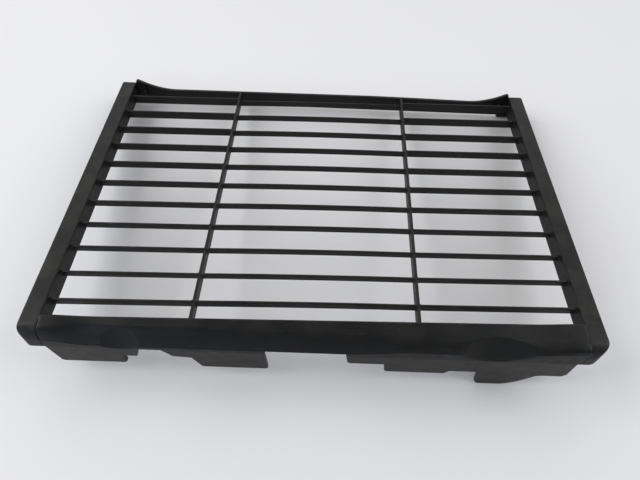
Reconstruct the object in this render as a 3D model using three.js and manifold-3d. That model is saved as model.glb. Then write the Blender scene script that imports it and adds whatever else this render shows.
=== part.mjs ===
// Louvred grille for an air intake: one black plastic moulding, built member by member.
// Millimetres. +X runs along the slats, +Y from the skirted front edge to the rear wall, and
// +Z out of the grille's face. The origin is on the floor plane, under the frame's centre.

import * as THREE from 'three';
import { mergeVertices } from 'three/addons/utils/BufferGeometryUtils.js';
import Module from 'manifold-3d';

const wasm = await Module();
wasm.setup();

// ---- Driving dimensions -------------------------------------------------------------------
// A "drop" is a depth below the face, which is the plane of the side rails' tops.

const FRAME_WIDTH = 330;
const FRAME_DEPTH = 230;
const FACE_HEIGHT = 47;
const WALL = 2.5;
const SEAM = 0.3; // clearance between neighbouring members

const RAIL_WIDTH = 11;
const OUTER_WALL_DROP = 16;
const INNER_WALL_DROP = 12;
const REAR_CORNER_RADIUS = 1.5;
const RAIL_SIDES = {
  left: { side: -1, frontCorner: 4.5, endRoll: 6 },
  right: { side: 1, frontCorner: 8, endRoll: 7 },
};

const FRONT_RAIL_WIDTH = 15; // on the centre line
const LIP = { thickness: 1.8, drop: 1.6 };
const NOSE_PANEL_DROP = 2.4;
const NOSE_ROLL = { width: 9, height: 9.6 };
const NOSE_NOTCH = { from: -29, to: 18, height: 3 };
const SCALLOPS = [
  { centre: -110, chord: 27 },
  { centre: 103, chord: 29 },
];
const SCALLOP_TOP = { setback: 8.4, drop: 2.6 }; // where a scallop's floor meets the panel
const SCALLOP_SAGITTA = 3.7;

const SLAT_COUNT = 11;
const SLAT_PITCH = 19.16;
const REAR_SLAT_SETBACK = 11.8;
const ROW_SLANT = THREE.MathUtils.degToRad(1.1); // the slats and the lip run back to the right
const SLAT_THICKNESS = 1.6;
const SLAT_LEAN = THREE.MathUtils.degToRad(5);
const SLAT_DROP = 2.5; // top edges in the two outer bays
const SLAT_HEIGHT = { rear: 7, uniform: 4.8, front: 5.7 };
const UNIFORM_SLATS = 4; // the front rows, equally high in every bay
const MIDDLE_BAY_BOW = 0.7;

const RIB = { thickness: 1.9, height: 8, drop: 3 };
const RIB_LINES = {
  left: { offset: -69.8, slant: THREE.MathUtils.degToRad(1) },
  right: { offset: 62.2, slant: THREE.MathUtils.degToRad(1.4) },
};

const REAR_WALL_SETBACK = 0.5;
const REAR_WALL_DROP = { ends: 4.8, middle: 3.5 };
const HORN = { length: 30, rise: 3.6, tip: 3 };
const REAR_TAB = { from: 148.4, to: 159, drop: 18.4 };

const CURVE_STEPS = 10;
const MARGIN = 2; // overrun of a cutting solid

// ---- Derived dimensions -------------------------------------------------------------------

const HALF_WIDTH = FRAME_WIDTH / 2;
const REAR = FRAME_DEPTH / 2;
const FRONT = -REAR;
const OPENING_SIDE = HALF_WIDTH - RAIL_WIDTH;
const OPENING_FRONT = FRONT + FRONT_RAIL_WIDTH;
const REAR_WALL_OUTER = REAR - REAR_WALL_SETBACK;
const REAR_WALL_INNER = REAR_WALL_OUTER - WALL;
const BETWEEN_RAILS = OPENING_SIDE - SEAM;
const SKIRT_TOP = -OUTER_WALL_DROP - SEAM;

// ---- Shape and solid helpers --------------------------------------------------------------

function outline(points) {
  return new THREE.Shape(points.map(([a, b]) => new THREE.Vector2(a, b)));
}

/** Points along an elliptical arc about [a, b], with both ends. */
function arc([a, b], [radiusA, radiusB], fromDegrees, toDegrees, steps = CURVE_STEPS) {
  return Array.from({ length: steps + 1 }, (_, i) => {
    const turn = THREE.MathUtils.degToRad(fromDegrees + ((toDegrees - fromDegrees) * i) / steps);
    return [a + radiusA * Math.cos(turn), b + radiusB * Math.sin(turn)];
  });
}

/** Points along a curve that bends from start towards control and on to end. */
function bend(start, control, end, steps = CURVE_STEPS) {
  const [p, q, r] = [start, control, end].map(([a, b]) => new THREE.Vector2(a, b));
  return new THREE.QuadraticBezierCurve(p, q, r).getPoints(steps).map(({ x, y }) => [x, y]);
}

function extrude(points, depth) {
  return new THREE.ExtrudeGeometry(outline(points), { depth, bevelEnabled: false });
}

/** A level slab with its outline in X and Y. */
function slab(points, bottom, top) {
  return extrude(points, top - bottom).translate(0, 0, bottom);
}

/** An upright plate across the frame, its outline in X and Z, from y to y + thickness. */
function plate(points, y, thickness) {
  return extrude(points, thickness).rotateX(Math.PI / 2).translate(0, y + thickness, 0);
}

/** A bar along X, its section in Y and Z. */
function bar(section, halfLength) {
  const [along, across, up] = [0, 1, 2].map((axis) => new THREE.Vector3().setComponent(axis, 1));
  const turned = new THREE.Matrix4().makeBasis(across, up, along);
  return extrude(section, 2 * halfLength).applyMatrix4(turned).translate(-halfLength, 0, 0);
}

function box(low, high) {
  const [from, to] = [new THREE.Vector3(...low), new THREE.Vector3(...high)];
  const size = to.clone().sub(from);
  const centre = from.add(to).multiplyScalar(0.5);
  return new THREE.BoxGeometry(...size.toArray()).translate(...centre.toArray());
}

/** Slides a geometry along Y in step with X, so that it runs at the rows' slant. */
function slanted(geometry) {
  return geometry.applyMatrix4(new THREE.Matrix4().makeShear(Math.tan(ROW_SLANT), 0, 0, 0, 0, 0));
}

function toSolid(geometry) {
  const bare = geometry.clone();
  bare.deleteAttribute('normal');
  bare.deleteAttribute('uv');
  const merged = mergeVertices(bare);
  return new wasm.Manifold(new wasm.Mesh({
    numProp: 3,
    vertProperties: new Float32Array(merged.attributes.position.array),
    triVerts: new Uint32Array(merged.index.array),
  }));
}

function toGeometry(solid) {
  const { vertProperties, triVerts } = solid.getMesh();
  const geometry = new THREE.BufferGeometry();
  geometry.setAttribute('position', new THREE.BufferAttribute(vertProperties, 3));
  geometry.setIndex(new THREE.BufferAttribute(triVerts, 1));
  geometry.computeVertexNormals();
  return geometry;
}

// ---- Side rails ---------------------------------------------------------------------------

/** Plan of a side rail, drawn in by inset all round. */
function railPlan({ side, frontCorner }, inset) {
  const [inner, outer] = [OPENING_SIDE + inset, HALF_WIDTH - inset];
  const [front, rear] = [FRONT + inset, REAR - inset];
  const corner = Math.min(frontCorner - inset, outer - inner - 1);
  const rearCorner = Math.max(REAR_CORNER_RADIUS - inset, 0.5);
  return [
    [inner, rear],
    [inner, front],
    ...arc([outer - corner, front + corner], [corner, corner], -90, 0),
    ...arc([outer - rearCorner, rear - rearCorner], [rearCorner, rearCorner], 0, 90, 3),
  ].map(([x, y]) => [side * x, y]);
}

/** Side view of a rail, in Y and Z, with its front end rolled over, drawn in by inset. */
function railSideView({ endRoll }, inset) {
  const roll = endRoll - inset;
  const bottom = -OUTER_WALL_DROP - MARGIN;
  return [
    [REAR + MARGIN, -inset],
    ...arc([FRONT + endRoll, -endRoll], [roll, roll], 90, 180),
    [FRONT + inset, bottom],
    [REAR + MARGIN, bottom],
  ];
}

/** An upside-down channel with closed ends and a shallower wall on the opening's side. */
function sideRail(rail) {
  const { side } = rail;
  const body = toSolid(slab(railPlan(rail, 0), -OUTER_WALL_DROP, 0))
    .intersect(toSolid(bar(railSideView(rail, 0), HALF_WIDTH + MARGIN)));
  const hollow = toSolid(slab(railPlan(rail, WALL), -OUTER_WALL_DROP - MARGIN, 0))
    .intersect(toSolid(bar(railSideView(rail, WALL), HALF_WIDTH + MARGIN)));
  const trimSides = [side * (OPENING_SIDE - MARGIN), side * (OPENING_SIDE + WALL + MARGIN)];
  const innerWallTrim = toSolid(box(
    [Math.min(...trimSides), FRONT + WALL, -OUTER_WALL_DROP - MARGIN],
    [Math.max(...trimSides), REAR - WALL, -INNER_WALL_DROP],
  ));
  return toGeometry(body.subtract(hollow).subtract(innerWallTrim));
}

// ---- Front rail ---------------------------------------------------------------------------

/** The upright flange along the opening, with a rounded top that stands proud as a lip. */
function frontLip() {
  const radius = LIP.thickness / 2;
  const top = [OPENING_FRONT - radius, -LIP.drop - radius];
  return slanted(bar([
    [OPENING_FRONT, -INNER_WALL_DROP],
    ...arc(top, [radius, radius], 0, 180, 6),
    [OPENING_FRONT - LIP.thickness, -INNER_WALL_DROP],
  ], BETWEEN_RAILS));
}

/** Section of the nose in Y and Z: panel, roll and front wall, drawn in by inset. */
function noseSection(inset, rear, bottom) {
  const centre = [FRONT + NOSE_ROLL.width, -NOSE_PANEL_DROP - NOSE_ROLL.height];
  return [
    [rear, bottom],
    [rear, -NOSE_PANEL_DROP - inset],
    ...arc(centre, [NOSE_ROLL.width - inset, NOSE_ROLL.height - inset], 90, 180),
    [FRONT + inset, bottom],
  ];
}

/** A cylinder that leans over the roll and scoops out one finger scallop. */
function scallopCutter({ centre, chord }, inset) {
  const rise = OUTER_WALL_DROP - SCALLOP_TOP.drop;
  const tilt = Math.atan2(rise, SCALLOP_TOP.setback);
  const radius = chord ** 2 / (8 * SCALLOP_SAGITTA) + SCALLOP_SAGITTA / 2;
  const outward = new THREE.Vector3(0, -Math.sin(tilt), Math.cos(tilt));
  const axis = new THREE.Vector3(centre, FRONT + SCALLOP_TOP.setback / 2, -SCALLOP_TOP.drop - rise / 2)
    .addScaledVector(outward, radius);
  return new THREE.CylinderGeometry(radius + inset, radius + inset, 4 * rise, 72)
    .rotateX(tilt)
    .translate(...axis.toArray());
}

/** The rolled front rail, a thin shell that keeps its thickness behind the scallops. */
function frontNose() {
  const rear = OPENING_FRONT + FRONT_RAIL_WIDTH; // well behind the lip, then cut back to it
  const behindLip = toSolid(slanted(box(
    [-HALF_WIDTH, OPENING_FRONT - LIP.thickness - SEAM, -OUTER_WALL_DROP - MARGIN],
    [HALF_WIDTH, rear + 2 * MARGIN, MARGIN],
  )));
  let skin = toSolid(bar(noseSection(0, rear, -OUTER_WALL_DROP), BETWEEN_RAILS));
  let core = toSolid(bar(
    noseSection(WALL, rear + MARGIN, -OUTER_WALL_DROP - MARGIN),
    BETWEEN_RAILS + MARGIN,
  ));
  for (const scallop of SCALLOPS) {
    skin = skin.subtract(toSolid(scallopCutter(scallop, 0)));
    core = core.subtract(toSolid(scallopCutter(scallop, WALL)));
  }
  const notch = toSolid(box(
    [NOSE_NOTCH.from, FRONT - MARGIN, -OUTER_WALL_DROP - MARGIN],
    [NOSE_NOTCH.to, FRONT + WALL + MARGIN, -OUTER_WALL_DROP + NOSE_NOTCH.height],
  ));
  return toGeometry(skin.subtract(core).subtract(notch).subtract(behindLip));
}

// ---- Skirt: the clip tabs that hang from the nose, as outlines in X and Z -----------------

const TAB_DROP = { step: 25, tab: 34, deepTab: 36.3, foot: FACE_HEIGHT };

const SKIRT_TABS = {
  skirt_outer_left: [
    [-153.2, SKIRT_TOP],
    [-149.4, -TAB_DROP.tab + 0.8],
    [-148, -TAB_DROP.tab],
    ...arc([-113.2, -TAB_DROP.tab + 2.4], [2.4, 2.4], -90, 20, 6),
    [-111.6, -TAB_DROP.step],
    ...arc([-103.8, -TAB_DROP.step + 1], [1, 1], -90, 0, 4),
    [-100.6, SKIRT_TOP],
  ],
  skirt_inner_left: [
    [-88, SKIRT_TOP],
    [-82, -TAB_DROP.step + 1.3],
    [-71.8, -TAB_DROP.step],
    [-67.2, -TAB_DROP.deepTab + 0.8],
    [-66, -TAB_DROP.deepTab],
    ...arc([-29, -TAB_DROP.deepTab + 1.6], [1.6, 1.6], -90, 10, 5),
    [-28.9, SKIRT_TOP],
  ],
  skirt_inner_right: [
    [18.2, SKIRT_TOP],
    ...arc([21.4, -TAB_DROP.step + 2.2], [2.2, 2.2], 180, 270, 5),
    [41, -TAB_DROP.step],
    ...arc([44.2, -TAB_DROP.tab + 2], [2.4, 2.4], 180, 270, 5),
    [78.2, -TAB_DROP.tab - 0.4],
    [80.6, -TAB_DROP.tab + 3.3],
    [92.4, -TAB_DROP.tab + 3.3],
    [92.4, SKIRT_TOP],
  ],
  skirt_foot_right: [
    [92.7, SKIRT_TOP],
    [92.7, -TAB_DROP.tab + 3.3],
    ...bend([96.4, -TAB_DROP.tab + 3.3], [98.1, -TAB_DROP.tab + 3.1], [97.8, -TAB_DROP.tab + 1], 4),
    ...bend([98.9, -TAB_DROP.foot + 4], [99.4, -TAB_DROP.foot], [103, -TAB_DROP.foot], 5),
    ...bend([114, -TAB_DROP.foot], [122, -TAB_DROP.foot + 1], [128.6, -TAB_DROP.tab - 5], 6),
    ...bend([131.4, -TAB_DROP.tab - 2.4], [133.6, -TAB_DROP.tab + 0.7], [137, -TAB_DROP.tab + 0.7], 4),
    [148.6, -TAB_DROP.tab + 0.7],
    [150.8, -TAB_DROP.tab + 3],
    [151.3, SKIRT_TOP],
  ],
};

// ---- Rear wall ----------------------------------------------------------------------------

/** The rear wall in X and Z: its top edge sweeps up to a horn at each end. */
function rearWall() {
  const hornFoot = BETWEEN_RAILS - HORN.length - HORN.tip;
  const hornTip = BETWEEN_RAILS - HORN.tip;
  const halfTop = [
    ...bend([0, -REAR_WALL_DROP.middle], [hornFoot / 2, -REAR_WALL_DROP.middle],
      [hornFoot, -REAR_WALL_DROP.ends], 6),
    ...bend([hornFoot + 1, -REAR_WALL_DROP.ends], [hornFoot + HORN.length * 0.5, -REAR_WALL_DROP.ends],
      [hornTip, HORN.rise - 0.2]),
    [hornTip + 1, HORN.rise],
    [hornTip + 1.9, HORN.rise - 0.7],
    [BETWEEN_RAILS, -REAR_WALL_DROP.middle],
  ];
  const mirrored = halfTop.slice(1).map(([x, z]) => [-x, z]).reverse();
  return plate([
    [-BETWEEN_RAILS, -OUTER_WALL_DROP],
    ...mirrored,
    ...halfTop,
    [BETWEEN_RAILS, -OUTER_WALL_DROP],
  ], REAR_WALL_INNER, WALL);
}

function rearCornerTab() {
  return box(
    [REAR_TAB.from, REAR_WALL_INNER, -REAR_TAB.drop],
    [REAR_TAB.to, REAR_WALL_OUTER, -OUTER_WALL_DROP - SEAM],
  );
}

// ---- Ribs and slats -----------------------------------------------------------------------

function ribCentre(side, y) {
  return RIB_LINES[side].offset + y * Math.tan(RIB_LINES[side].slant);
}

/** Row 0 is the rearmost slat. Heights in the outer bays fall towards the uniform rows. */
function outerSlatHeight(row) {
  const lastSloping = SLAT_COUNT - UNIFORM_SLATS;
  const share = Math.min(row / lastSloping, 1);
  return THREE.MathUtils.lerp(SLAT_HEIGHT.rear, SLAT_HEIGHT.uniform, share);
}

/** A slat in X and Z about its own centre, bowed up by bow at mid-length. */
function slatBlade(length, height, bow) {
  const half = length / 2;
  const top = bend([half, height / 2], [0, height / 2 + 2 * bow], [-half, height / 2], 8);
  const bottom = bend([-half, -height / 2], [0, -height / 2 + 2 * bow], [half, -height / 2], 8);
  const points = bow > 0
    ? [...top, ...bottom]
    : [[half, height / 2], [-half, height / 2], [-half, -height / 2], [half, -height / 2]];
  return plate(points, -SLAT_THICKNESS / 2, SLAT_THICKNESS);
}

/** Where a row that crosses the centre line at y meets a rib's centre line. */
function rowAtRib(side, y) {
  const { offset, slant } = RIB_LINES[side];
  return (offset + y * Math.tan(slant)) / (1 - Math.tan(slant) * Math.tan(ROW_SLANT));
}

/** Clear span of a bay in the row at y, between the faces of its ribs or rails. */
function baySpan(bay, y) {
  const ribFace = RIB.thickness / 2 / Math.cos(RIB_LINES.left.slant);
  const [left, right] = [rowAtRib('left', y), rowAtRib('right', y)];
  return {
    left: [-OPENING_SIDE, left - ribFace],
    middle: [left + ribFace, right - ribFace],
    right: [right + ribFace, OPENING_SIDE],
  }[bay];
}

// ---- Assembly -----------------------------------------------------------------------------

const COLOURS = { frame: 0x2e2e2e, nose: 0x1f2021, skirt: 0x343332, slat: 0x2a2a29 };

const grille = new THREE.Group();
grille.position.z = FACE_HEIGHT;

function addMember(name, geometry, color) {
  const material = new THREE.MeshStandardMaterial({ color, roughness: 0.45, metalness: 0 });
  const mesh = new THREE.Mesh(geometry, material);
  mesh.name = name;
  grille.add(mesh);
  return mesh;
}

for (const [name, rail] of Object.entries(RAIL_SIDES)) {
  addMember(`side_rail_${name}`, sideRail(rail), COLOURS.frame);
}
addMember('front_lip', frontLip(), COLOURS.frame);
addMember('front_nose', frontNose(), COLOURS.nose);
addMember('rear_wall', rearWall(), COLOURS.frame);
addMember('rear_corner_tab', rearCornerTab(), COLOURS.frame);

for (const [name, points] of Object.entries(SKIRT_TABS)) {
  addMember(name, plate(points, FRONT, WALL), COLOURS.skirt);
}

for (const [side, { offset, slant }] of Object.entries(RIB_LINES)) {
  const lipLine = OPENING_FRONT + offset * Math.tan(ROW_SLANT);
  const [from, to] = [lipLine + SEAM, REAR_WALL_INNER - SEAM];
  const middle = (from + to) / 2;
  const rib = new THREE.BoxGeometry(RIB.thickness, to - from - SEAM, RIB.height);
  const mesh = addMember(`rib_${side}`, rib, COLOURS.slat);
  mesh.position.set(ribCentre(side, middle), middle, -RIB.drop - RIB.height / 2);
  mesh.rotation.z = -slant;
}

for (let row = 0; row < SLAT_COUNT; row += 1) {
  const y = REAR - REAR_SLAT_SETBACK - row * SLAT_PITCH;
  const isFrontRow = row === SLAT_COUNT - 1;
  const outerHeight = isFrontRow ? SLAT_HEIGHT.front : outerSlatHeight(row);
  for (const bay of ['left', 'middle', 'right']) {
    const [from, to] = baySpan(bay, y);
    const height = bay === 'middle' && !isFrontRow ? SLAT_HEIGHT.uniform : outerHeight;
    const bow = bay === 'middle' ? MIDDLE_BAY_BOW : 0;
    const centre = (from + to) / 2;
    const blade = slatBlade(to - from - 2 * SEAM, height, bow).rotateX(SLAT_LEAN);
    const number = String(SLAT_COUNT - row).padStart(2, '0');
    const mesh = addMember(`slat_${number}_${bay}`, slanted(blade), COLOURS.slat);
    const centreDrop = SLAT_DROP + outerHeight - height / 2;
    mesh.position.set(centre, y + centre * Math.tan(ROW_SLANT), -centreDrop);
  }
}

export default grille;
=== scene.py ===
"""A louvred air intake grille in moulded black polypropylene, lying face up on a pale table.

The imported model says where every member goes. This script gives each member its moulded
shape, with drafted blades, filleted joints, a rolled nose and finger scallops, and its finish.
Members are shaped in millimetres, with height zero on the grille's face, and are placed in
metres when they are finished.
"""

from __future__ import annotations

import logging
import math
import sys
from collections.abc import Callable, Iterable
from dataclasses import dataclass, field, replace
from enum import Enum

import bmesh
import bpy
from mathutils import Matrix, Vector

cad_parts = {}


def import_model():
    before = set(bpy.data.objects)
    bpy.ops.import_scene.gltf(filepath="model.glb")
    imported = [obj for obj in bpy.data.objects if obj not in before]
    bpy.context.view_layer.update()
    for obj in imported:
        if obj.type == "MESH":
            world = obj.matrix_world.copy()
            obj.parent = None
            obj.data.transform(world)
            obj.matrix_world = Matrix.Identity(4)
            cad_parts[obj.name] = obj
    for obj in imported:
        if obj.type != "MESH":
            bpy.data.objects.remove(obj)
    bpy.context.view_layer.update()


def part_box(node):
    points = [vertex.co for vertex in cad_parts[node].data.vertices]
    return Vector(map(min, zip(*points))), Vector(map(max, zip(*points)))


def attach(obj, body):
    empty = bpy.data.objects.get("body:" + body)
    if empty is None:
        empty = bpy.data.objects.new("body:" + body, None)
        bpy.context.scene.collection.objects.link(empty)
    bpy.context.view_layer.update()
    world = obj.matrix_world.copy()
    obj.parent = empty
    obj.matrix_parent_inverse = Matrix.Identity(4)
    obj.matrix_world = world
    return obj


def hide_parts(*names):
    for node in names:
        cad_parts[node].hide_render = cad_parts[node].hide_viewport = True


LOG = logging.getLogger("grille")
MM = 0.001
WEAR = "wear"  # face attribute: 1 on rounded edges, 0 elsewhere
EMBED = 0.35  # how far a member runs into its neighbour, so that the moulding has no gaps
ON_CUT = 1e-5  # a point this close to a cut lies on it
ALONG = 0.999  # the cosine above which an edge runs along an axis


class Slot(Enum):
    """The record's material slots."""

    FRAME = "frame_plastic"
    NOSE = "nose_plastic"
    SKIRT = "skirt_plastic"
    SLAT = "slat_plastic"


class Side(Enum):
    """The two long sides of the frame, as the sign of X."""

    LEFT = -1
    RIGHT = 1


# ---- Small maths ---------------------------------------------------------------------------


def smooth_step(value: float, low: float, high: float) -> float:
    """Returns 0 below low, 1 above high, and an even rise between them."""
    share = min(max((value - low) / (high - low), 0.0), 1.0)
    return share * share * (3 - 2 * share)


def fillet_rise(distance: float, radius: float) -> float:
    """Works out how far a concave fillet stands off a surface.

    Args:
        distance: The distance from the corner, along the surface.
        radius: The fillet's radius.

    Returns:
        The height of the fillet above the surface, 0 beyond its radius.
    """
    if distance >= radius:
        return 0.0
    reach = radius - max(distance, 0.0)
    return radius - math.sqrt(max(radius * radius - reach * reach, 0.0))


def spread(low: float, high: float, step: float) -> list[float]:
    """Returns even stations from low to high, about a step apart, both ends included."""
    count = max(1, round((high - low) / step))
    return [low + (high - low) * i / count for i in range(count + 1)]


def arc_points(centre: tuple[float, float], radius: float, start: float, stop: float,
               steps: int) -> list[tuple[float, float]]:
    """Draws an arc.

    Args:
        centre: The arc's centre.
        radius: Its radius.
        start: The angle where it starts, in degrees.
        stop: The angle where it stops, in degrees.
        steps: How many straight steps stand for it.

    Returns:
        The points, both ends included.
    """
    turns = [math.radians(start + (stop - start) * i / steps) for i in range(steps + 1)]
    return [(centre[0] + radius * math.cos(t), centre[1] + radius * math.sin(t)) for t in turns]


def bend_points(start: Vector, control: Vector, end: Vector, steps: int) -> list[Vector]:
    """Returns points on a quadratic curve from start to end, both ends included."""
    shares = [i / steps for i in range(steps + 1)]
    return [start * (1 - t) ** 2 + control * 2 * t * (1 - t) + end * t * t for t in shares]


# ---- Finishes ------------------------------------------------------------------------------


def linear(hex_colour: str) -> tuple[float, float, float, float]:
    """Turns an sRGB hex colour into a linear one.

    Args:
        hex_colour: The colour, such as "#131313".

    Returns:
        Red, green, blue and an alpha of 1, for a socket.
    """
    levels = [int(hex_colour[i:i + 2], 16) / 255 for i in (1, 3, 5)]
    flat = [v / 12.92 if v <= 0.04045 else ((v + 0.055) / 1.055) ** 2.4 for v in levels]
    return (flat[0], flat[1], flat[2], 1.0)


def add_node(tree: bpy.types.NodeTree, kind: str, inputs: dict[str | int, object] | None = None,
             **settings: object) -> bpy.types.Node:
    """Adds one shader node.

    Args:
        tree: The node tree that takes it.
        kind: The node's type name.
        inputs: Values for its sockets by name or number. A socket as a value is linked.
        settings: The node's own attributes.

    Returns:
        The new node.
    """
    node = tree.nodes.new(kind)
    for name, value in settings.items():
        setattr(node, name, value)
    for key, value in (inputs or {}).items():
        if isinstance(value, bpy.types.NodeSocket):
            tree.links.new(value, node.inputs[key])
        else:
            node.inputs[key].default_value = value
    return node


@dataclass(frozen=True)
class Marks:
    """Noise with features of a real size, of which only the part from low to high shows."""

    size_mm: float
    detail: float
    low: float
    high: float
    share: float  # how strongly they show at their clearest


DUST = Marks(size_mm=14, detail=4, low=0.35, high=0.72, share=0.05)
SCUFFS = Marks(size_mm=1.6, detail=2, low=0.62, high=0.74, share=0.12)


@dataclass(frozen=True)
class MouldedPolypropylene:
    """Black polypropylene from a spark-eroded mould: satin, finely grained and a little dusty.

    The grain breaks reflections into a soft sheen, handling leaves faint scuffs on the flats
    and a paler burnish on the edges, and dust greys whatever faces up.
    """

    name: str
    colour: str = "#131313"
    flow_colour: str = "#191918"  # where the melt cooled first, along the flow
    burnish_colour: str = "#4b4a48"
    dust_colour: str = "#8c867d"
    roughness: float = 0.39
    unevenness: tuple[float, float] = (-0.05, 0.06)  # how far the roughness strays from that
    uneven_mm: float = 6.0
    wall_drag: float = 0.12  # walls scrape the mould on the way out, so they are more matt
    flow: Marks = Marks(size_mm=26, detail=3, low=0.4, high=0.7, share=0.8)
    dust: Marks = DUST
    specks: Marks = Marks(size_mm=1.1, detail=1, low=0.735, high=0.80, share=0.12)
    burnish: Marks = Marks(size_mm=5, detail=3, low=0.42, high=0.68, share=0.16)
    scuffs: Marks = SCUFFS
    scuff_draw: tuple[float, float, float] = (0.12, 1.0, 1.0)  # scuffs run along X
    settling: tuple[float, float] = (0.45, 0.95)  # normal Z where dust begins, and is full
    grain_mm: float = 0.45  # the real grain is about 0.1 mm, too fine to show
    grain_depth_mm: float = 0.014
    sink_mm: float = 9.0  # the slow waviness of a moulded wall
    sink_depth_mm: float = 0.05

    def _noise(self, tree: bpy.types.NodeTree, place: bpy.types.NodeSocket, size_mm: float,
               detail: float) -> bpy.types.NodeSocket:
        """Adds noise of a real size.

        Args:
            tree: The node tree that takes it.
            place: The coordinates that it follows.
            size_mm: How large its features are.
            detail: How many finer octaves it carries.

        Returns:
            The noise's value.
        """
        node = add_node(tree, "ShaderNodeTexNoise",
                        {"Vector": place, "Scale": 1 / (size_mm * MM), "Detail": detail})
        return node.outputs["Fac"]

    def _band(self, tree: bpy.types.NodeTree, value: bpy.types.NodeSocket, low: float,
              high: float, top: float) -> bpy.types.NodeSocket:
        """Maps a range of a value to a smooth rise.

        Args:
            tree: The node tree that takes the node.
            value: The value to map.
            low: Where the rise starts.
            high: Where it ends.
            top: What it rises to, from 0.

        Returns:
            The mapped value.
        """
        node = add_node(tree, "ShaderNodeMapRange", {
            "Value": value, "From Min": low, "From Max": high, "To Max": top,
        }, interpolation_type="SMOOTHSTEP")
        return node.outputs["Result"]

    def _marked(self, tree: bpy.types.NodeTree, place: bpy.types.NodeSocket,
                marks: Marks) -> bpy.types.NodeSocket:
        """Returns how strongly a kind of marks shows."""
        noise = self._noise(tree, place, marks.size_mm, marks.detail)
        return self._band(tree, noise, marks.low, marks.high, marks.share)

    def _combined(self, tree: bpy.types.NodeTree, operation: str, first: bpy.types.NodeSocket,
                  second: bpy.types.NodeSocket) -> bpy.types.NodeSocket:
        """Returns two values combined by a maths operation."""
        node = add_node(tree, "ShaderNodeMath", {0: first, 1: second}, operation=operation)
        return node.outputs["Value"]

    def _laid_over(self, tree: bpy.types.NodeTree, share: bpy.types.NodeSocket,
                   under: bpy.types.NodeSocket | tuple[float, ...],
                   over: str) -> bpy.types.NodeSocket:
        """Returns a colour with a hex colour laid over it by share."""
        node = add_node(tree, "ShaderNodeMixRGB",
                        {"Fac": share, "Color1": under, "Color2": linear(over)})
        return node.outputs["Color"]

    def _coloured(self, tree: bpy.types.NodeTree, place: bpy.types.NodeSocket,
                  settled: bpy.types.NodeSocket,
                  haze: bpy.types.NodeSocket) -> bpy.types.NodeSocket:
        """Adds the nodes of the base colour.

        Args:
            tree: The node tree that takes them.
            place: The coordinates that the marks follow.
            settled: How far a face points up, for the specks.
            haze: How dusty it is.

        Returns:
            The base colour.
        """
        flow = self._marked(tree, place, self.flow)
        colour = self._laid_over(tree, flow, linear(self.colour), self.flow_colour)
        colour = self._laid_over(tree, haze, colour, self.dust_colour)
        specks = self._combined(tree, "MULTIPLY", settled, self._marked(tree, place, self.specks))
        colour = self._laid_over(tree, specks, colour, self.dust_colour)
        edge = add_node(tree, "ShaderNodeAttribute", attribute_name=WEAR).outputs["Fac"]
        burnish = self._combined(tree, "MULTIPLY", edge, self._marked(tree, place, self.burnish))
        colour = self._laid_over(tree, burnish, colour, self.burnish_colour)
        drawn = add_node(tree, "ShaderNodeMapping", {"Vector": place, "Scale": self.scuff_draw})
        scuffs = self._marked(tree, drawn.outputs["Vector"], self.scuffs)
        return self._laid_over(tree, scuffs, colour, self.burnish_colour)

    def _roughened(self, tree: bpy.types.NodeTree, place: bpy.types.NodeSocket,
                   upward: bpy.types.NodeSocket,
                   haze: bpy.types.NodeSocket) -> bpy.types.NodeSocket:
        """Adds the nodes of the roughness.

        Args:
            tree: The node tree that takes them.
            place: The coordinates that its unevenness follows.
            upward: The Z of the face's normal: walls are more matt than flats.
            haze: How dusty the face is: dust is matt too.

        Returns:
            The roughness.
        """
        low, high = self.unevenness
        rough = add_node(tree, "ShaderNodeMapRange", {
            "Value": self._noise(tree, place, self.uneven_mm, detail=3),
            "From Min": 0.3, "From Max": 0.7,
            "To Min": self.roughness + low, "To Max": self.roughness + high,
        }).outputs["Result"]
        dragged = add_node(tree, "ShaderNodeMapRange", {
            "Value": upward, "From Min": 0.2, "From Max": 0.8,
            "To Min": self.wall_drag, "To Max": 0.0,
        }).outputs["Result"]
        return self._combined(tree, "ADD", self._combined(tree, "ADD", rough, haze), dragged)

    def _bumped(self, tree: bpy.types.NodeTree,
                place: bpy.types.NodeSocket) -> bpy.types.NodeSocket:
        """Adds the grain and the walls' slow waviness.

        Args:
            tree: The node tree that takes the nodes.
            place: The coordinates that they follow.

        Returns:
            The bumped normal.
        """
        grained = add_node(tree, "ShaderNodeBump", {
            "Height": self._noise(tree, place, self.grain_mm, detail=2),
            "Distance": self.grain_depth_mm * MM, "Strength": 1.0,
        })
        waved = add_node(tree, "ShaderNodeBump", {
            "Height": self._noise(tree, place, self.sink_mm, detail=1),
            "Distance": self.sink_depth_mm * MM, "Strength": 1.0,
            "Normal": grained.outputs["Normal"],
        })
        return waved.outputs["Normal"]

    def material(self) -> bpy.types.Material:
        """Builds the material.

        Returns:
            The new material, with its patterns on Object coordinates.
        """
        made = bpy.data.materials.new(self.name)
        made.use_nodes = True
        made.diffuse_color = linear(self.colour)
        tree = made.node_tree
        tree.nodes.clear()
        place = add_node(tree, "ShaderNodeTexCoord").outputs["Object"]
        facing = add_node(tree, "ShaderNodeNewGeometry").outputs["Normal"]
        upward = add_node(tree, "ShaderNodeSeparateXYZ", {"Vector": facing}).outputs["Z"]
        settled = self._band(tree, upward, *self.settling, top=1.0)
        haze = self._combined(tree, "MULTIPLY", settled, self._marked(tree, place, self.dust))
        shader = add_node(tree, "ShaderNodeBsdfPrincipled", {
            "Base Color": self._coloured(tree, place, settled, haze),
            "Roughness": self._roughened(tree, place, upward, haze),
            "Normal": self._bumped(tree, place),
            "IOR": 1.49,
            "Specular IOR Level": 0.26,
        })
        add_node(tree, "ShaderNodeOutputMaterial", {"Surface": shader.outputs["BSDF"]})
        return made


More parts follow.
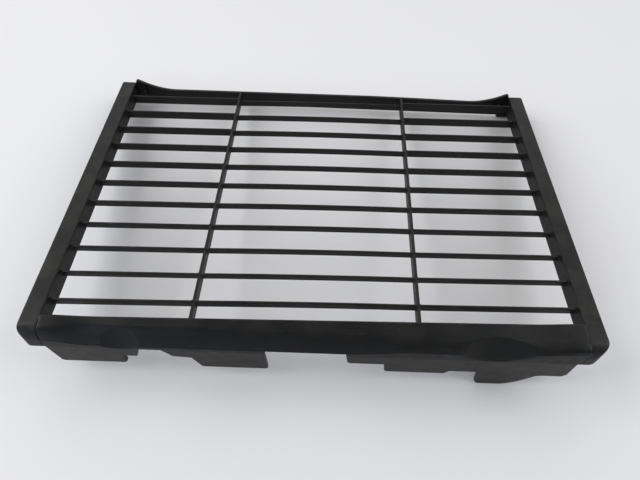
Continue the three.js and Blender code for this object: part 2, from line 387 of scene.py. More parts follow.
FINISHES = {
    Slot.FRAME: MouldedPolypropylene("moulded_polypropylene_frame"),
    # Painted shade: the nose is the frame's plastic, painted darker and bluer to stand in for the
    # dark room that the roll reflects.
    Slot.NOSE: MouldedPolypropylene("moulded_polypropylene_nose_painted_shade", colour="#0f1011",
                                    flow_colour="#131415", dust=replace(DUST, share=0.02)),
    # Painted light: the skirt is the frame's plastic, painted paler and warmer to stand in for the
    # bright table that it reflects.
    Slot.SKIRT: MouldedPolypropylene("moulded_polypropylene_skirt_painted_light", colour="#151413",
                                     flow_colour="#1b1a19", wall_drag=0.0),
    Slot.SLAT: MouldedPolypropylene("moulded_polypropylene_slat", colour="#151412",
                                    flow_colour="#1c1a18", scuffs=replace(SCUFFS, size_mm=1.1)),
}


# ---- Workshop ------------------------------------------------------------------------------


def new_bmesh() -> bmesh.types.BMesh:
    """Starts a bmesh.

    Returns:
        An empty bmesh that carries the wear attribute.
    """
    bm = bmesh.new()
    bm.faces.layers.float.new(WEAR)
    return bm


def block(bm: bmesh.types.BMesh, low: Vector, high: Vector) -> list[bmesh.types.BMVert]:
    """Adds a rectangular block.

    Args:
        bm: The bmesh that takes it.
        low: Its lowest corner.
        high: Its highest corner.

    Returns:
        Its eight vertices.
    """
    verts = bmesh.ops.create_cube(bm, size=1.0)["verts"]
    bmesh.ops.scale(bm, verts=verts, vec=high - low)
    bmesh.ops.translate(bm, verts=verts, vec=(low + high) / 2)
    return verts


def round_edges(bm: bmesh.types.BMesh, edges: Iterable[bmesh.types.BMEdge], radius: float,
                segments: int = 3) -> None:
    """Rounds edges and marks the new faces as worn.

    Args:
        bm: The bmesh that holds them.
        edges: The edges to round.
        radius: The radius, in the bmesh's own units.
        segments: How many faces stand for the round.
    """
    made = bmesh.ops.bevel(bm, geom=list(edges), offset=radius, offset_type="OFFSET",
                           segments=segments, profile=0.5, affect="EDGES", material=-1,
                           clamp_overlap=True)
    layer = bm.faces.layers.float[WEAR]
    for face in made["faces"]:
        face[layer] = 1.0


def slice_at(bm: bmesh.types.BMesh, stations: Iterable[float], axis: int) -> None:
    """Cuts a bmesh across an axis, so that it can bend at the cuts.

    Args:
        bm: The bmesh to cut.
        stations: Where the cuts lie along the axis.
        axis: The axis, 0 for X to 2 for Z.
    """
    normal = Vector((0, 0, 0))
    normal[axis] = 1.0
    for station in stations:
        geometry = [*bm.verts, *bm.edges, *bm.faces]
        bmesh.ops.bisect_plane(bm, geom=geometry, plane_co=normal * station, plane_no=normal,
                               dist=ON_CUT)


def edges_along(bm: bmesh.types.BMesh, axis: int,
                keep: Callable[[Vector], bool] = lambda middle: True) -> list[bmesh.types.BMEdge]:
    """Finds the edges that run along an axis.

    Args:
        bm: The bmesh to look through.
        axis: The axis, 0 for X to 2 for Z.
        keep: A test of an edge's middle.

    Returns:
        The edges that run along the axis and pass the test.
    """
    found = []
    for edge in bm.edges:
        first, second = (v.co for v in edge.verts)
        along = (second - first).normalized()
        if abs(along[axis]) > ALONG and keep((first + second) / 2):
            found.append(edge)
    return found


@dataclass
class Workshop:
    """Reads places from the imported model, and turns finished shapes into dressed pieces."""

    face: float
    materials: dict[Slot, bpy.types.Material]
    body: str = "root"
    sharp_above: float = math.radians(38)
    flat_within: float = math.radians(1.0)  # CAD triangles this level with each other are one
    merge_gap: float = 0.01
    weld_gap: float = 0.001
    known_boxes: dict[str, tuple[Vector, Vector]] = field(default_factory=dict)

    @classmethod
    def open(cls) -> Workshop:
        """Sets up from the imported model.

        Returns:
            A workshop whose face plane lies on top of the side rails.
        """
        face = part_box("side_rail_left")[1].z
        return cls(face, {slot: finish.material() for slot, finish in FINISHES.items()})

    def box(self, node: str) -> tuple[Vector, Vector]:
        """Looks up where a CAD node is.

        Args:
            node: The node's name.

        Returns:
            Its lowest and highest corners in millimetres, with height zero on the face.
        """
        if node not in self.known_boxes:
            face = Vector((0, 0, self.face))
            low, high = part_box(node)
            self.known_boxes[node] = ((low - face) / MM, (high - face) / MM)
        low, high = self.known_boxes[node]
        return low.copy(), high.copy()

    def copy_of(self, node: str) -> bmesh.types.BMesh:
        """Copies a CAD node's mesh and merges the copy.

        Args:
            node: The node's name.

        Returns:
            The copy, in millimetres from the face.
        """
        bm = new_bmesh()
        bm.from_mesh(bpy.data.objects[node].data)
        bmesh.ops.translate(bm, verts=bm.verts, vec=(0, 0, -self.face))
        bmesh.ops.scale(bm, verts=bm.verts, vec=(1 / MM,) * 3)
        bmesh.ops.remove_doubles(bm, verts=bm.verts, dist=self.merge_gap)
        bmesh.ops.dissolve_limit(bm, angle_limit=self.flat_within, verts=bm.verts,
                                 edges=bm.edges)
        return bm

    def deliver(self, bm: bmesh.types.BMesh, name: str, slot: Slot, stands_for: tuple[str, ...],
                wall: float = 0.0) -> bpy.types.Object:
        """Places a finished shape, dresses it and links it into the scene under its body.

        Args:
            bm: The shape, in millimetres from the face. It is freed.
            name: The piece's name.
            slot: The finish it takes.
            stands_for: The CAD nodes that it replaces.
            wall: The wall thickness of an open skin, or 0 for a closed shape.

        Returns:
            The new object.
        """
        bmesh.ops.remove_doubles(bm, verts=bm.verts, dist=self.weld_gap)
        if wall:
            bmesh.ops.solidify(bm, geom=bm.faces[:], thickness=wall)
        place = Matrix.Translation((0, 0, self.face)) @ Matrix.Scale(MM, 4)
        bmesh.ops.transform(bm, matrix=place, verts=bm.verts)
        mesh = bpy.data.meshes.new(name)
        bm.to_mesh(mesh)
        bm.free()
        mesh.shade_smooth()
        mesh.set_sharp_from_angle(angle=self.sharp_above)
        mesh.materials.append(self.materials[slot])
        piece = bpy.data.objects.new(name, mesh)
        bpy.context.scene.collection.objects.link(piece)
        shading = piece.modifiers.new("shading", "WEIGHTED_NORMAL")
        shading.keep_sharp = True
        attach(piece, self.body)
        if stands_for:
            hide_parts(*stands_for)
        LOG.info("%s: %d vertices for %s", name, len(mesh.vertices), ", ".join(stands_for))
        return piece


# ---- Slats, ribs and lip -------------------------------------------------------------------


@dataclass
class MouldedBar:
    """A straight member, drafted, rounded along its edges and filleted where it ends.

    It runs along X about its own centre. The fillet swells its thickness near both ends.
    """

    length: float
    thickness: float
    height: float
    top_radius: float = 0.55
    foot_radius: float = 0.3
    draft: float = 0.12  # how much thinner the top is than the foot
    fillet: float = 1.1
    fillet_bends: tuple[float, ...] = (0.08, 0.2, 0.38, 0.62, 1.0)  # as shares of the fillet
    fillet_fade: float = 1.0  # the height below the top over which the fillet dies out
    bow: float = 0.0
    bow_bends: int = 10

    def shape(self) -> bmesh.types.BMesh:
        """Shapes the bar.

        Returns:
            The bar, centred on the origin.
        """
        bm = new_bmesh()
        half = Vector((self.length / 2 + EMBED, self.thickness / 2, self.height / 2))
        block(bm, -half, half)
        round_edges(bm, edges_along(bm, 0, lambda middle: middle.z > 0), self.top_radius,
                    segments=4)
        round_edges(bm, edges_along(bm, 0, lambda middle: middle.z < 0), self.foot_radius,
                    segments=2)
        inside = [self.length / 2 - self.fillet * share for share in self.fillet_bends]
        bowed = spread(-self.length / 2, self.length / 2, self.length / self.bow_bends)[1:-1]
        slice_at(bm, [*inside, *(-x for x in inside), *(bowed if self.bow else [])], 0)
        for vert in bm.verts:
            self._shape_vertex(vert)
        return bm

    def _shape_vertex(self, vert: bmesh.types.BMVert) -> None:
        """Moves one vertex for the draft, the end fillets and the bow.

        Args:
            vert: The vertex, still on the plain bar.
        """
        x, y, z = vert.co
        rise = (z + self.height / 2) / self.height
        swell = fillet_rise(self.length / 2 - abs(x), self.fillet)
        below_top = 1 - smooth_step(z, self.height / 2 - self.fillet_fade, self.height / 2)
        thin = 1 - self.draft * rise / self.thickness
        sign = 1 if y > 0 else -1
        vert.co.y = y * thin + sign * swell * below_top
        vert.co.z = z + self.bow * (1 - (2 * x / self.length) ** 2)


@dataclass
class Louvres:
    """The eleven rows of slats in three bays, the two ribs between them, and the front lip."""

    shop: Workshop
    rows: int = 11
    bays: tuple[str, ...] = ("left", "middle", "right")
    slat_thickness: float = 1.6
    slat_lean: float = math.radians(5)
    seam: float = 0.3
    middle_bow: float = 0.7
    rib_thickness: float = 1.9
    lip_thickness: float = 1.8
    lip_radius: float = 0.8
    lip_fillet: float = 0.6
    lip_step: float = 3.0
    lip_rise: float = 1.4  # at its two ends, up to the rails' tops
    lip_rise_reach: float = 30.0

    def row_slope(self) -> float:
        """Returns how far a row moves back for each millimetre to the right."""
        low, high = self.shop.box("front_lip")
        return (high.y - low.y - self.lip_thickness) / (high.x - low.x)

    def _slat(self, number: int, bay: str) -> None:
        """Makes one slat between its two neighbours.

        Args:
            number: The slat's row, from 1 at the front.
            bay: The bay that it crosses.
        """
        node = f"slat_{number:02d}_{bay}"
        low, high = self.shop.box(node)
        bow = self.middle_bow if bay == "middle" else 0.0
        lean_share = self.slat_thickness * math.sin(self.slat_lean)
        height = (high.z - low.z - bow - lean_share) / math.cos(self.slat_lean)
        length = high.x - low.x + 2 * self.seam
        blade = MouldedBar(length, self.slat_thickness, height, bow=bow).shape()
        bmesh.ops.rotate(blade, verts=blade.verts, cent=(0, 0, 0),
                         matrix=Matrix.Rotation(self.slat_lean, 3, "X"))
        centre = (low + high) / 2
        slope = self.row_slope()
        for vert in blade.verts:
            vert.co.y += vert.co.x * slope
        centre.z = (low.z + high.z - bow) / 2
        bmesh.ops.translate(blade, verts=blade.verts, vec=centre)
        self.shop.deliver(blade, f"blade_{number:02d}_{bay}", Slot.SLAT, (node,))

    def _rib(self, side: Side) -> None:
        """Makes one rib, slanted as its CAD node is.

        Args:
            side: Which of the two ribs it is.
        """
        node = f"rib_{side.name.lower()}"
        low, high = self.shop.box(node)
        length = high.y - low.y + 2 * self.seam
        slope = (high.x - low.x - self.rib_thickness) / (high.y - low.y)
        bar = MouldedBar(length, self.rib_thickness, high.z - low.z, top_radius=0.5).shape()
        bmesh.ops.rotate(bar, verts=bar.verts, cent=(0, 0, 0),
                         matrix=Matrix.Rotation(math.pi / 2 - math.atan(slope), 3, "Z"))
        bmesh.ops.translate(bar, verts=bar.verts, vec=(low + high) / 2)
        self.shop.deliver(bar, f"cross_{node}", Slot.SLAT, (node,))

    def _lip(self) -> None:
        """Makes the lip, with its full top radius and its risen ends."""
        low, high = self.shop.box("front_lip")
        length = high.x - low.x + 2 * self.seam
        bar = MouldedBar(length, self.lip_thickness, high.z - low.z,
                         top_radius=self.lip_radius, draft=0.0, fillet=self.lip_fillet).shape()
        slope = self.row_slope()
        slice_at(bar, spread(-length / 2, length / 2, self.lip_step)[1:-1], 0)
        for vert in bar.verts:
            lifted = smooth_step(abs(vert.co.x), length / 2 - self.lip_rise_reach, length / 2)
            vert.co.y += vert.co.x * slope
            vert.co.z += self.lip_rise * lifted
        bmesh.ops.translate(bar, verts=bar.verts, vec=(low + high) / 2)
        self.shop.deliver(bar, "opening_lip", Slot.FRAME, ("front_lip",))

    def build(self) -> None:
        """Makes every member of the louvred field."""
        for number in range(1, self.rows + 1):
            for bay in self.bays:
                self._slat(number, bay)
        for side in Side:
            self._rib(side)
        self._lip()


# ---- Front nose ----------------------------------------------------------------------------


@dataclass
class Scallop:
    """A finger scallop: a shallow cylinder, leaning over the nose, that scoops out an eye."""

    centre: float
    half_width: float
    top: Vector  # where its floor meets the panel, in Y and Z
    foot: Vector  # where its floor meets the band
    depth: float = 2.0

    def depth_at(self, point: Vector) -> float:
        """Measures a point against the scallop.

        Args:
            point: The point.

        Returns:
            How far it stands above the scallop's surface, below zero where it stays clear.
        """
        along = (self.foot - self.top).normalized()
        outward = Vector((along.y, -along.x))
        height = (Vector((point.y, point.z)) - self.top).dot(outward)
        aside = point.x - self.centre
        radius = (self.half_width ** 2 + self.depth ** 2) / (2 * self.depth)
        if abs(aside) >= radius:
            return -1.0
        return height - (radius - math.sqrt(radius * radius - aside * aside))

    def press(self, point: Vector) -> None:
        """Moves a point that stands above the surface down onto it.

        Args:
            point: The point, which is changed.
        """
        depth = self.depth_at(point)
        if depth <= 0:
            return
        along = (self.foot - self.top).normalized()
        point.y -= along.y * depth
        point.z += along.x * depth


@dataclass
class Nose:
    """The rolled front rail: a channel behind the lip, a crest, a roll and a lower band."""

    shop: Workshop
    slope: float
    lip_line: float  # the front face of the lip on the centre line
    wall: float = 2.3
    seam: float = 0.3
    lip_drop: float = 1.8
    crest_drop: float = 2.7
    crest_run: float = 4.4
    panel_slope: float = 0.18  # how the panel falls away from the lip
    panel_steps: int = 8
    overhang: float = math.radians(25)
    end_fullness: float = 0.7  # how far the roll fills out toward its ends
    end_fills: tuple[float, float] = (134.0, 153.0)
    roll_steps: int = 26
    crease_drops: tuple[float, float, float] = (13.0, 8.8, 6.0)  # left half, right half, end
    right_climbs: tuple[tuple[float, float], ...] = ((15.0, 60.0), (85.0, 150.0))
    left_climb: float = 4.0
    left_climbs: tuple[float, float] = (128.0, 152.0)
    crease: tuple[tuple[float, float], ...] = ((0.0, -0.3), (0.08, -0.08), (0.25, 0.1))
    band_steps: int = 8
    notch: tuple[float, float] = (-29.0, 18.0)
    notch_lip: float = 0.35
    notch_blend: float = 0.06
    end_inset: float = 0.3
    end_reach: float = 1.2
    end_bends: tuple[float, ...] = (0.15, 0.35, 0.6, 0.9, 1.3, 1.8)
    end_rise: float = 2.2
    rise_reach: float = 30.0
    rise_heights: tuple[float, float] = (-10.0, -4.0)  # what lies above these rises
    inset_heights: tuple[float, float] = (-12.0, -6.0)
    straight_front: float = 5.0  # this much of the nose stays square to the rails
    station_step: float = 4.0
    station_gap: float = 0.1
    scallop_step: float = 0.45
    scallop_margin: float = 1.5
    rim_reach: float = 0.16  # how close to a scallop's surface its rim lies
    rim_gap: float = 0.02
    rim_start: float = 2.0  # the rim's distance from the scallop's middle

    def _front(self) -> float:
        """Returns the Y of the nose's front."""
        return self.shop.box("front_nose")[0].y

    def _bottom(self) -> float:
        """Returns the Z of the band's lower edge."""
        return self.shop.box("front_nose")[0].z

    def _scallops(self) -> list[Scallop]:
        """Sets out the scallops.

        Returns:
            The lower one on the left and the taller one on the right.
        """
        front, bottom = self._front(), self._bottom()
        foot = Vector((front, bottom))
        low_eye = Scallop(centre=-110.6, half_width=13.2,
                          top=Vector((front + 6.6, -4.3)), foot=foot)
        tall_eye = Scallop(centre=103.0, half_width=14.6,
                           top=Vector((front + 8.4, -2.6)), foot=foot)
        return [low_eye, tall_eye]

    def _half(self) -> float:
        """Returns the distance from the centre line to the side rails."""
        return self.shop.box("front_nose")[1].x + self.seam

    def _crease_height(self, x: float) -> float:
        """Works out where the roll ends above the band: it climbs toward both ends.

        Args:
            x: The place along the nose.

        Returns:
            The crease's Z.
        """
        low, middle, high = self.crease_drops
        first, second = (smooth_step(x, *reach) for reach in self.right_climbs)
        climb = (low - middle) * first + (middle - high) * second
        return climb - low + self.left_climb * smooth_step(-x, *self.left_climbs)

    def _section(self, x: float) -> list[Vector]:
        """Draws the nose's section.

        Args:
            x: The place along the nose.

        Returns:
            Its points in Y and Z, from the band's foot up and back to the lip.
        """
        front, bottom, height = self._front(), self._bottom(), self._crease_height(x)
        if self.notch[0] < x < self.notch[1]:
            bottom = height - self.notch_lip
        below, groove, edge = (Vector((front + y, height + z)) for y, z in self.crease)
        steps = self.band_steps
        band = [Vector((front, bottom + (below.y - bottom) * i / steps)) for i in range(steps + 1)]
        rise = -self.crest_drop - height
        fuller = 1 - self.end_fullness * smooth_step(abs(x), *self.end_fills)
        bend = Vector((edge.x + rise * math.tan(self.overhang) * fuller,
                       -self.crest_drop - self.crest_run * self.panel_slope))
        crest = Vector((bend.x + self.crest_run, -self.crest_drop))
        roll = bend_points(edge, bend, crest, self.roll_steps)
        lip = Vector((self.lip_line + EMBED, -self.lip_drop))
        panel = bend_points(crest, (crest + lip) / 2, lip, self.panel_steps)[1:]
        return [*band, groove, *roll, *panel]

    def _stations(self) -> list[float]:
        """Chooses where along X the section is drawn.

        Returns:
            The places, closer together at the scallops, the notch and the ends.
        """
        half = self._half()
        places = spread(-half, half, self.station_step)
        for scallop in self._scallops():
            reach = scallop.half_width + self.scallop_margin
            places += spread(scallop.centre - reach, scallop.centre + reach, self.scallop_step)
        for step in (*self.end_bends, -EMBED):
            places += [half - step, step - half]
        for edge in self.notch:
            places += [edge - self.notch_blend, edge + self.notch_blend]
        kept: list[float] = []
        for place in sorted(places):
            if not kept or place - kept[-1] > self.station_gap:
                kept.append(place)
        return kept

    def _place(self, x: float, point: Vector) -> Vector:
        """Places a section point, with the skewed lip and the shaped ends.

        Args:
            x: The place along the nose.
            point: The point of its section, in Y and Z.

        Returns:
            Where the point lies.
        """
        y, z = point
        toward_lip = smooth_step(y, self._front() + self.straight_front, self.lip_line)
        y += x * self.slope * toward_lip
        half = self._half()
        lifted = smooth_step(abs(x), half - self.rise_reach, half)
        z += self.end_rise * lifted * smooth_step(z, *self.rise_heights)
        from_end = (half - abs(x)) / self.end_reach
        if from_end < 1:
            inset = self.end_inset * (1 - math.sqrt(max(1 - (1 - max(from_end, 0)) ** 2, 0)))
            y += inset * (1 - toward_lip)
            z -= inset * smooth_step(z, *self.inset_heights)
        return Vector((x, y, z))

    def build(self) -> None:
        """Makes the nose as an open skin and gives it its wall."""
        stations = self._stations()
        sections = [self._section(x) for x in stations]
        bm = new_bmesh()
        bmesh.ops.create_grid(bm, x_segments=len(stations) - 1,
                              y_segments=len(sections[0]) - 1, size=1.0)
        scallops = self._scallops()
        for vert in bm.verts:
            i = round((vert.co.x + 1) / 2 * (len(stations) - 1))
            j = round((vert.co.y + 1) / 2 * (len(sections[0]) - 1))
            vert.co = self._place(stations[i], sections[i][j])
            for scallop in scallops:
                scallop.press(vert.co)
        self._soften_rims(bm, scallops)
        self.shop.deliver(bm, "rolled_nose", Slot.NOSE, ("front_nose",), self.wall)

    def _soften_rims(self, bm: bmesh.types.BMesh, scallops: list[Scallop]) -> None:
        """Rounds the rim where each scallop breaks the roll, and marks it as half worn.

        Args:
            bm: The nose's skin.
            scallops: The scallops pressed into it.
        """
        layer = bm.faces.layers.float[WEAR]
        rim = [v for v in bm.verts for s in scallops
               if -self.rim_reach < s.depth_at(v.co) < self.rim_gap
               and abs(v.co.x - s.centre) > self.rim_start
               and v.co.z > self._bottom() + self.station_gap
               and any(s.depth_at(e.other_vert(v).co) < -self.rim_gap for e in v.link_edges)]
        bmesh.ops.smooth_vert(bm, verts=rim, factor=0.5, use_axis_x=True, use_axis_y=True,
                              use_axis_z=True)
        for vert in rim:
            for face in vert.link_faces:
                face[layer] = 0.5


# ---- Side rails ----------------------------------------------------------------------------


@dataclass
class SideRail:
    """An upside-down channel with a rolled front end, drawn as sections along Y."""

    shop: Workshop
    side: Side
    front_corner: float
    end_roll: float
    roll_stretch: float = 1.3  # how much deeper the end roll is than it is long
    rear_corner: float = 1.5
    rear_roll: float = 0.8
    outer_radius: float = 1.3
    inner_radius: float = 0.8
    inner_drop: float = 12.0
    wall: float = 2.4
    trim_step: float = 0.1  # how abruptly the inner wall grows shallow behind the ends
    station_step: float = 9.6
    straight_margin: float = 2.0  # where the even stations start, from the rounded ends
    end_steps: int = 12
    outer_steps: int = 5
    inner_steps: int = 4
    flat_steps: int = 4
    worn_tilt: tuple[float, float] = (0.25, 0.97)  # the normal's Z on rounded edges

    def _extent(self) -> tuple[Vector, Vector]:
        """Looks up the rail's place.

        Returns:
            Its lowest and highest corners, mirrored to the right-hand side.
        """
        low, high = self.shop.box(f"side_rail_{self.side.name.lower()}")
        if self.side is Side.LEFT:
            low.x, high.x = -high.x, -low.x
        return low, high

    def _stations(self) -> list[float]:
        """Chooses where along Y the section is drawn.

        Returns:
            The places, closer together at the rounded ends.
        """
        low, high = self._extent()
        reach = max(self.front_corner, self.end_roll)
        quarter = [math.pi / 2 * i / self.end_steps for i in range(self.end_steps + 1)]
        front = [low.y + reach * (1 - math.cos(turn)) for turn in quarter]
        rear = [high.y - self.rear_corner * (1 - math.cos(turn)) for turn in quarter[::2]]
        margin = self.straight_margin
        middle = spread(front[-1] + margin, rear[-1] - margin, self.station_step)
        trims = [low.y + self.wall + self.trim_step, high.y - self.wall - self.trim_step]
        return sorted({round(y, 4) for y in [*front, *middle, *rear, *trims]})

    def _section(self, y: float) -> list[Vector]:
        """Draws the rail's section.

        Args:
            y: The place along the rail.

        Returns:
            Its points in X and Z, from the outer wall's foot to the inner wall's.
        """
        low, high = self._extent()
        outer = high.x - fillet_rise(y - low.y, self.front_corner)
        outer -= fillet_rise(high.y - y, self.rear_corner)
        top = -fillet_rise(y - low.y, self.end_roll) * self.roll_stretch
        top -= fillet_rise(high.y - y, self.rear_roll)
        big, small = self.outer_radius, self.inner_radius
        inside = low.y + self.wall < y < high.y - self.wall
        inner_foot = -self.inner_drop if inside else low.z
        corner = arc_points((outer - big, top - big), big, 0, 90, self.outer_steps)
        inner = arc_points((low.x + small, top - small), small, 90, 180, self.inner_steps)
        shares = [i / self.flat_steps for i in range(self.flat_steps + 1)]
        rise = [low.z + (top - big - low.z) * share for share in shares[:-1]]
        flat = [outer - big + (low.x + small - outer + big) * share for share in shares[1:-1]]
        drop = [top - small + (inner_foot - top + small) * share for share in shares[1:]]
        return [
            *(Vector((outer, z)) for z in rise),
            *(Vector(p) for p in corner),
            *(Vector((x, top)) for x in flat),
            *(Vector(p) for p in inner),
            *(Vector((low.x, z)) for z in drop),
        ]

    def build(self) -> None:
        """Makes the rail as an open skin, closes its ends and gives it its wall."""
        stations = self._stations()
        sections = [self._section(y) for y in stations]
        bm = new_bmesh()
        bmesh.ops.create_grid(bm, x_segments=len(sections[0]) - 1, y_segments=len(stations) - 1,
                              size=1.0)
        ends: dict[int, list[tuple[int, bmesh.types.BMVert]]] = {0: [], len(stations) - 1: []}
        for vert in bm.verts:
            i = round((vert.co.x + 1) / 2 * (len(sections[0]) - 1))
            j = round((vert.co.y + 1) / 2 * (len(stations) - 1))
            x, z = sections[j][i]
            vert.co = Vector((x, stations[j], z))
            if j in ends:
                ends[j].append((i, vert))
        for members in ends.values():
            members.sort(key=lambda member: member[0])
            bm.faces.new([vert for _, vert in members])
        bmesh.ops.recalc_face_normals(bm, faces=bm.faces)
        if sum(face.normal.z * face.calc_area() for face in bm.faces) < 0:
            bmesh.ops.reverse_faces(bm, faces=bm.faces)
        self._mark_edges(bm)
        if self.side is Side.LEFT:
            bmesh.ops.scale(bm, verts=bm.verts, vec=(-1, 1, 1))
            bmesh.ops.reverse_faces(bm, faces=bm.faces)
        name = self.side.name.lower()
        self.shop.deliver(bm, f"channel_rail_{name}", Slot.FRAME, (f"side_rail_{name}",),
                          self.wall)

    def _mark_edges(self, bm: bmesh.types.BMesh) -> None:
        """Marks the rounded long edges and the rolled end as worn.

        Args:
            bm: The rail's skin.
        """
        low, high = self.worn_tilt
        layer = bm.faces.layers.float[WEAR]
        for face in bm.faces:
            face[layer] = 1.0 if low < face.normal.z < high else 0.0


# ---- Skirt, rear wall and tab --------------------------------------------------------------


@dataclass
class PlateMembers:
    """The flat members: four clip tabs, the rear wall and the rear corner tab.

    Each keeps its CAD outline, and gets rounded edges and closed joints.
    """

    shop: Workshop
    tabs: tuple[str, ...] = ("skirt_outer_left", "skirt_inner_left", "skirt_inner_right",
                             "skirt_foot_right")
    flush_sides: dict[str, tuple[int, float]] = field(default_factory=lambda: {
        "skirt_inner_right": (1, 0.3),  # meets the foot's tab without a seam
        "skirt_foot_right": (-1, 0.0),
    })
    edge_radius: float = 0.5
    sharp_turn: float = math.radians(50)
    post_size: Vector = Vector((1.6, 3.2, 5.0))
    post_from_end: float = 7.5
    post_drop: float = 4.6
    post_radius: float = 0.25
    near: float = 0.05  # what lies this close to an edge belongs to it

    def _round_outline(self, bm: bmesh.types.BMesh, keep: Callable[[Vector], bool]) -> None:
        """Rounds the edges between a plate's faces and its rim.

        Args:
            bm: The plate.
            keep: A test that both of an edge's ends have to pass.
        """
        edges = [e for e in bm.edges
                 if len(e.link_faces) == 2 and e.calc_face_angle(0) > self.sharp_turn
                 and all(keep(v.co) for v in e.verts)
                 and any(abs(f.normal.y) > 0.99 for f in e.link_faces)]
        round_edges(bm, edges, self.edge_radius)

    def _tab(self, node: str, joint: float) -> None:
        """Makes one clip tab.

        Args:
            node: The tab's CAD node.
            joint: The height where it meets the nose's band.
        """
        bm = self.shop.copy_of(node)
        low, high = self.shop.box(node)
        side, shift = self.flush_sides.get(node, (0, 0.0))
        edge = high.x if side > 0 else low.x
        for vert in bm.verts:
            if vert.co.z > high.z - self.near:
                vert.co.z = joint
            if side and abs(vert.co.x - edge) < self.near:
                vert.co.x += side * shift
        self._round_outline(bm, lambda point: point.z < joint - self.near
                            and not (side and abs(point.x - edge) < self.edge_radius))
        self.shop.deliver(bm, f"clip_{node}", Slot.SKIRT, (node,))

    def _rear_wall(self) -> None:
        """Makes the rear wall with the small posts that tie it to the rear slats."""
        bm = self.shop.copy_of("rear_wall")
        low, high = self.shop.box("rear_wall")
        for vert in bm.verts:
            if abs(vert.co.x) > high.x - self.near:
                vert.co.x += math.copysign(EMBED, vert.co.x)
        self._round_outline(bm, lambda point: abs(point.x) < high.x - self.near)
        half = self.post_size / 2
        middle = Vector((0, low.y - half.y + EMBED, -self.post_drop - half.z))
        for side in Side:
            middle.x = side.value * (high.x - self.post_from_end)
            post = new_bmesh()
            block(post, middle - half, middle + half)
            round_edges(post, post.edges[:], self.post_radius, segments=2)
            self._join(bm, post)
        self.shop.deliver(bm, "upright_rear_wall", Slot.FRAME, ("rear_wall",))

    def _join(self, bm: bmesh.types.BMesh, extra: bmesh.types.BMesh) -> None:
        """Adds a closed shape to a bmesh.

        Args:
            bm: The bmesh that takes it.
            extra: The shape. It is freed.
        """
        carrier = bpy.data.meshes.new("carrier")
        extra.to_mesh(carrier)
        extra.free()
        bm.from_mesh(carrier)
        bpy.data.meshes.remove(carrier)

    def _rear_tab(self, joint: float) -> None:
        """Makes the rear corner tab.

        Args:
            joint: The height where it meets the rear wall.
        """
        tab = self.shop.copy_of("rear_corner_tab")
        high = self.shop.box("rear_corner_tab")[1]
        for vert in tab.verts:
            if vert.co.z > high.z - self.near:
                vert.co.z = joint
            if vert.co.x > high.x - self.near:
                vert.co.x += EMBED
        self._round_outline(tab, lambda point: point.z < joint - self.near)
        self.shop.deliver(tab, "rear_stop_tab", Slot.FRAME, ("rear_corner_tab",))

    def build(self) -> None:
        """Makes every flat member."""
        joint = self.shop.box("front_nose")[0].z
        for node in self.tabs:
            self._tab(node, joint)
        self._rear_wall()
        self._rear_tab(joint)


# ---- Studio --------------------------------------------------------------------------------


@dataclass
class Table:
    """A pale table. It rises gently under the part, which leans back on its deep foot."""

    colour: str = "#e9e9ea"
    gloss_range: tuple[float, float] = (0.42, 0.56)  # roughness, as wiped laminate has
    gloss_patch: float = 1 / 7
    size: float = 6.0
    strips: int = 600
    front_contact: float = -0.114
    rear_contact: float = 0.114
    rear_height: float = 0.0284
    knee: float = 0.02
    overrun: float = 0.045
    farthest: float = 60.0  # in knees, past which the ramp is straight

    def _ramp(self, distance: float) -> float:
        """Returns a ramp that starts to climb softly where the distance is zero."""
        return self.knee * math.log1p(math.exp(min(distance / self.knee, self.farthest)))

    def _rise(self, y: float) -> float:
        """Returns the straight rise between the two knees, from the lower level."""
        slope = self.rear_height / (self.rear_contact - self.front_contact)
        begin, finish = self.front_contact - self.overrun, self.rear_contact + self.overrun
        return slope * (self._ramp(y - begin) - self._ramp(y - finish))

    def height(self, y: float) -> float:
        """Returns the table's height at y: level, then a straight rise, then level again."""
        return self._rise(y) - self._rise(self.front_contact)

    def _material(self) -> bpy.types.Material:
        """Builds the table's white melamine laminate, with a soft, uneven gloss.

        Returns:
            The new material.
        """
        made = bpy.data.materials.new("table_laminate")
        made.use_nodes = True
        tree = made.node_tree
        tree.nodes.clear()
        place = add_node(tree, "ShaderNodeTexCoord").outputs["Object"]
        cloud = add_node(tree, "ShaderNodeTexNoise",
                         {"Vector": place, "Scale": 1 / self.gloss_patch}).outputs["Fac"]
        smoothest, roughest = self.gloss_range
        rough = add_node(tree, "ShaderNodeMapRange", {
            "Value": cloud, "To Min": smoothest, "To Max": roughest,
        }).outputs["Result"]
        shader = add_node(tree, "ShaderNodeBsdfPrincipled", {
            "Base Color": linear(self.colour), "Roughness": rough, "Specular IOR Level": 0.35,
        })
        add_node(tree, "ShaderNodeOutputMaterial", {"Surface": shader.outputs["BSDF"]})
        return made

    def build(self) -> None:
        """Makes the table."""
        bm = bmesh.new()
        bmesh.ops.create_grid(bm, x_segments=2, y_segments=self.strips, size=self.size / 2)
        for vert in bm.verts:
            vert.co.z = self.height(vert.co.y)
        mesh = bpy.data.meshes.new("table")
        bm.to_mesh(mesh)
        bm.free()
        mesh.shade_smooth()
        mesh.materials.append(self._material())
        table = bpy.data.objects.new("table", mesh)
        bpy.context.scene.collection.objects.link(table)
        LOG.info("table: rises %.1f mm under the part", self.rear_height / MM)


@dataclass
class SoftLight:
    """One large area light aimed at the part."""

    name: str
    place: tuple[float, float, float]
    size: tuple[float, float]
    watts: float
    colour: str = "#ffffff"

    def build(self) -> None:
        """Adds the light."""
        data = bpy.data.lights.new(self.name, "AREA")
        data.shape = "RECTANGLE"
        data.size, data.size_y = self.size
        data.energy = self.watts
        data.color = linear(self.colour)[:3]
        light = bpy.data.objects.new(self.name, data)
        light.location = self.place
        light.rotation_euler = (-light.location).to_track_quat("-Z", "Y").to_euler()
        bpy.context.scene.collection.objects.link(light)


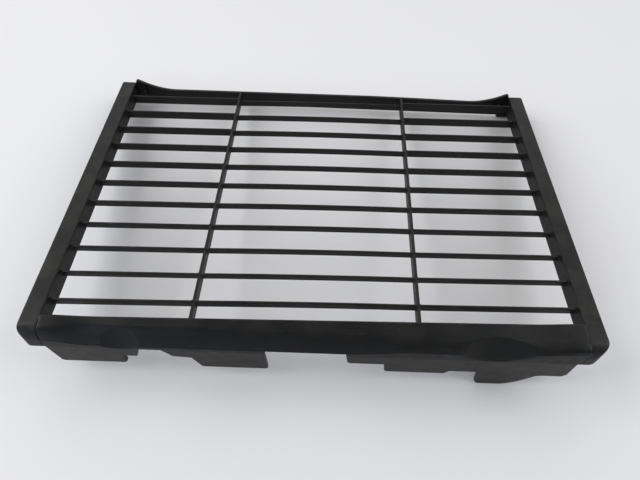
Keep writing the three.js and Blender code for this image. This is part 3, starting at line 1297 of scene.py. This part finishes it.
@dataclass
class Studio:
    """The camera, the lights and the room's fill."""

    camera_place: tuple[float, float, float] = (-0.0024, -0.2437, 0.3008)
    pitch: float = 51.72  # degrees below the horizon
    yaw: float = 0.98  # degrees to the right
    roll: float = 2.89
    lens: float = 28.69
    sensor: float = 36.0
    fill_colour: str = "#cccccc"
    fill_strength: float = 0.55
    lights: tuple[SoftLight, ...] = (
        SoftLight("back_window", (-0.1, 1.6, 1.6), (3.0, 1.6), 12.5),
        SoftLight("left_window", (-1.5, 0.0, 1.2), (1.4, 1.4), 21.5),
        SoftLight("right_window", (1.5, 0.0, 1.2), (1.4, 1.4), 14, "#fafbff"),
        SoftLight("front_window", (-0.8, -1.2, 0.45), (0.5, 0.5), 1.8, "#ccdbff"),
    )

    def _camera(self) -> None:
        """Adds the camera, above the front edge and looking down over the slats."""
        data = bpy.data.cameras.new("camera")
        data.sensor_width = self.sensor
        data.lens = self.lens
        camera = bpy.data.objects.new("camera", data)
        turn = Matrix.Rotation(math.radians(-self.yaw), 4, "Z")
        tip = Matrix.Rotation(math.radians(90 - self.pitch), 4, "X")
        lean = Matrix.Rotation(math.radians(self.roll), 4, "Z")
        camera.matrix_world = Matrix.Translation(self.camera_place) @ turn @ tip @ lean
        bpy.context.scene.collection.objects.link(camera)
        bpy.context.scene.camera = camera

    def _fill(self) -> None:
        """Sets an even grey room."""
        world = bpy.data.worlds.new("room")
        bpy.context.scene.world = world
        world.use_nodes = True
        background = world.node_tree.nodes["Background"]
        background.inputs["Color"].default_value = linear(self.fill_colour)
        background.inputs["Strength"].default_value = self.fill_strength

    def build(self) -> None:
        """Sets up the whole studio."""
        bpy.context.scene.view_settings.view_transform = "Standard"
        self._camera()
        self._fill()
        for light in self.lights:
            light.build()
        Table().build()


# ---- Making it all -------------------------------------------------------------------------


def main() -> None:
    """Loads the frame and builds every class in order."""
    logging.basicConfig(level=logging.INFO, format="%(name)s: %(message)s", stream=sys.stdout)
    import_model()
    Studio().build()
    shop = Workshop.open()
    louvres = Louvres(shop)
    louvres.build()
    lip_low, lip_high = shop.box("front_lip")
    lip_line = (lip_low.y + lip_high.y - louvres.lip_thickness) / 2
    Nose(shop, louvres.row_slope(), lip_line).build()
    SideRail(shop, Side.LEFT, front_corner=4.5, end_roll=7.0).build()
    SideRail(shop, Side.RIGHT, front_corner=8.0, end_roll=7.0).build()
    PlateMembers(shop).build()


if __name__ == "__main__":
    main()
